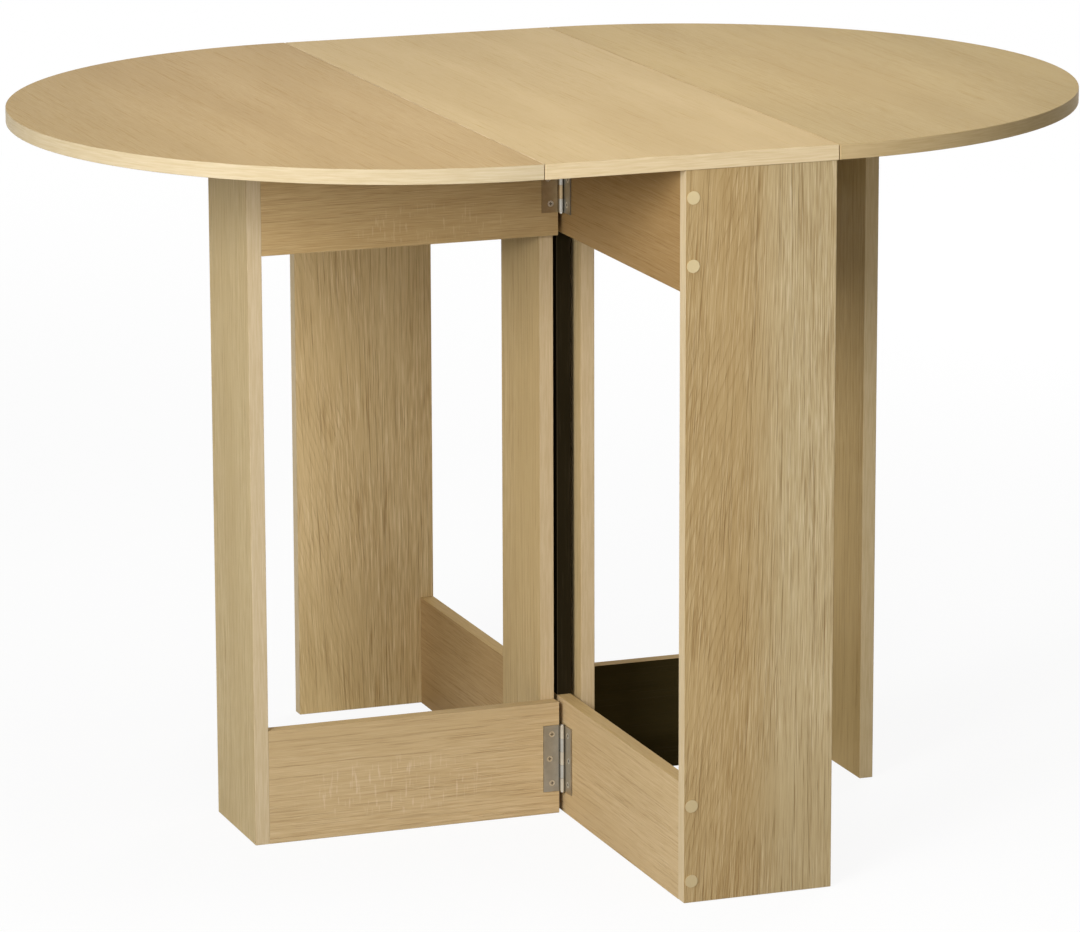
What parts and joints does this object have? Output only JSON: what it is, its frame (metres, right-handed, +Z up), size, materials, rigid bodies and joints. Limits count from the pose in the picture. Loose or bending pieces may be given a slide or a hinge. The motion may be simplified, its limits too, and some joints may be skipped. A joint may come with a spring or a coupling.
{
  "type": "folding dining table",
  "caption": "Drop-leaf dining table with a rounded top: hinged half-round leaves rest on swinging gate legs that fold in beside a Z-plan panel base.",
  "frame": {"origin": "on the floor under the middle of the table top", "axes": "+X from leaf to leaf along the length, +Y from the front to the rear, +Z up"},
  "size_m": [1.0998, 0.8, 0.74],
  "materials": {
    "top_board": "satin oak-effect foil on board, grain along the seams",
    "panel_board": "embossed oak-effect foil on board, grain upright",
    "rail_board": "embossed oak-effect foil on board, grain along the rail, dark inside face",
    "dark_board": "near-black foil on board",
    "hinge_steel": "zinc-plated pressed steel",
    "screw_steel": "zinc-plated steel",
    "cap_plastic": "matt beige plastic",
    "dowel_wood": "raw beech",
    "block_wood": "raw softwood"
  },
  "bodies": {
    "base": {"centre_top": "top_board", "front_panel": "panel_board", "rear_panel": "panel_board", "spine_top_rail": "rail_board", "spine_bottom_rail": "rail_board", "spine_post": "dark_board", "connector_screws": "screw_steel", "screw_caps": "cap_plastic", "post_dowels": "dowel_wood", "top_dowels": "dowel_wood", "corner_blocks": "block_wood", "block_screws": "screw_steel", "left_upper_hinge_base_leaf": "hinge_steel", "left_lower_hinge_base_leaf": "hinge_steel", "left_gate_hinge_pins": "screw_steel", "left_gate_hinge_base_screws": "screw_steel", "left_flap_base_plates": "hinge_steel", "left_flap_base_screws": "screw_steel", "left_flap_pins": "screw_steel", "right_upper_hinge_base_leaf": "hinge_steel", "right_lower_hinge_base_leaf": "hinge_steel", "right_gate_hinge_pins": "screw_steel", "right_gate_hinge_base_screws": "screw_steel", "right_flap_base_plates": "hinge_steel", "right_flap_base_screws": "screw_steel", "right_flap_pins": "screw_steel"},
    "left_gate": {"left_gate_leg": "panel_board", "left_gate_stile": "panel_board", "left_gate_top_rail": "rail_board", "left_gate_bottom_rail": "rail_board", "left_gate_dowels": "dowel_wood", "left_upper_hinge_gate_leaf": "hinge_steel", "left_lower_hinge_gate_leaf": "hinge_steel", "left_gate_hinge_screws": "screw_steel"},
    "right_gate": {"right_gate_leg": "panel_board", "right_gate_stile": "panel_board", "right_gate_top_rail": "rail_board", "right_gate_bottom_rail": "rail_board", "right_gate_dowels": "dowel_wood", "right_upper_hinge_gate_leaf": "hinge_steel", "right_lower_hinge_gate_leaf": "hinge_steel", "right_gate_hinge_screws": "screw_steel"},
    "left_leaf": {"left_leaf": "top_board", "left_flap_leaf_plates": "hinge_steel", "left_flap_leaf_screws": "screw_steel"},
    "right_leaf": {"right_leaf": "top_board", "right_flap_leaf_plates": "hinge_steel", "right_flap_leaf_screws": "screw_steel"}
  },
  "joints": [
    {"name": "left_gate_swing", "type": "hinge", "parent": "base", "child": "left_gate", "pos_m": [-0.0105, -0.0695, 0], "axis": [0, 0, 1], "range_deg": [0, 90]},
    {"name": "right_gate_swing", "type": "hinge", "parent": "base", "child": "right_gate", "pos_m": [0.0105, 0.0695, 0], "axis": [0, 0, 1], "range_deg": [0, 90]},
    {"name": "left_leaf_lift", "type": "hinge", "parent": "base", "child": "left_leaf", "pos_m": [-0.15, 0, 0.725], "axis": [0, 1, 0], "range_deg": [0, 3]},
    {"name": "right_leaf_lift", "type": "hinge", "parent": "base", "child": "right_leaf", "pos_m": [0.15, 0, 0.725], "axis": [0, -1, 0], "range_deg": [0, 3]}
  ]
}
